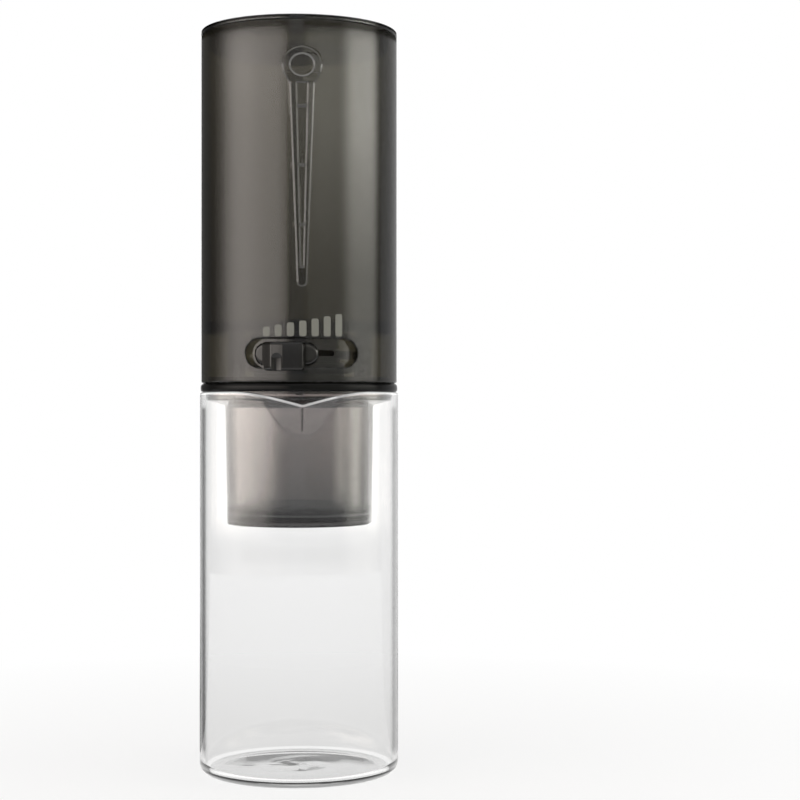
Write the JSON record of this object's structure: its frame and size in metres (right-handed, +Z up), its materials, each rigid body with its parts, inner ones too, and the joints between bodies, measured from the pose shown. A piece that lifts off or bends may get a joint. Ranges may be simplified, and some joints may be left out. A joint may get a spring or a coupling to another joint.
{
  "type": "cold brew coffee maker",
  "caption": "Slow drip cold brew maker: smoky water tank with a sliding drip regulator and a lid, over a hanging coffee cup in a glass carafe with a pouring lip.",
  "frame": {"origin": "centre of the carafe's flat bottom, on the surface that the maker stands on", "axes": "+Z up along the common axis of carafe, cup and tank; -Y is the front, with the slider and the pouring lip; +X is to the right as seen from the front"},
  "size_m": [0.078, 0.0827, 0.2905],
  "materials": {
    "clear_glass": "clear borosilicate glass, fire polished rim",
    "smoke_tank": "dark smoky transparent plastic, gloss moulded",
    "smoke_cup": "lighter smoky violet grey transparent plastic",
    "black_silicone": "black silicone, satin",
    "clear_silicone": "translucent natural silicone tube",
    "dark_plastic": "dark moulded plastic, fine matt",
    "steel": "stainless steel, brushed",
    "filter_paper": "soft white filter paper, light crepe",
    "scale_print": "pale grey printed scale"
  },
  "bodies": {
    "carafe": {"carafe": "clear_glass"},
    "cup": {"coffee_cup": "smoke_cup", "seal_ring": "black_silicone", "dispersion_plate": "smoke_cup", "filter_gasket": "black_silicone", "filter_screen": "steel", "filter_paper": "filter_paper"},
    "tank": {"water_tank": "smoke_tank", "valve_cover": "dark_plastic", "cover_screw_1": "steel", "cover_screw_2": "steel", "cover_screw_3": "steel", "tube_clamp": "steel", "drip_tube": "clear_silicone", "drip_nozzle": "dark_plastic", "detent_spring": "steel"},
    "lid": {"tank_lid": "smoke_tank"},
    "slider": {"slider_knob": "smoke_tank", "cam_ring": "dark_plastic"},
    "plunger": {"pinch_plunger": "dark_plastic"}
  },
  "joints": [
    {"name": "cup_lift", "type": "slide", "parent": "carafe", "child": "cup", "axis": [0, 0, 1], "range_m": [0, 0.06]},
    {"name": "tank_lift", "type": "slide", "parent": "cup", "child": "tank", "axis": [0, 0, 1], "range_m": [0, 0.03]},
    {"name": "lid_lift", "type": "slide", "parent": "tank", "child": "lid", "axis": [0, 0, 1], "range_m": [0, 0.03]},
    {"name": "flow_slider", "type": "hinge", "parent": "tank", "child": "slider", "pos_m": [0, 0, 0.16345], "axis": [0, 0, 1], "range_deg": [-4.8, 24]},
    {"name": "plunger_slide", "type": "slide", "parent": "tank", "child": "plunger", "axis": [0, 1, 0], "range_m": [-0.00034, 0.00168]}
  ],
  "couplings": [
    {"joint": "plunger_slide", "follows": "flow_slider", "m_per_rad": 0.00398}
  ]
}
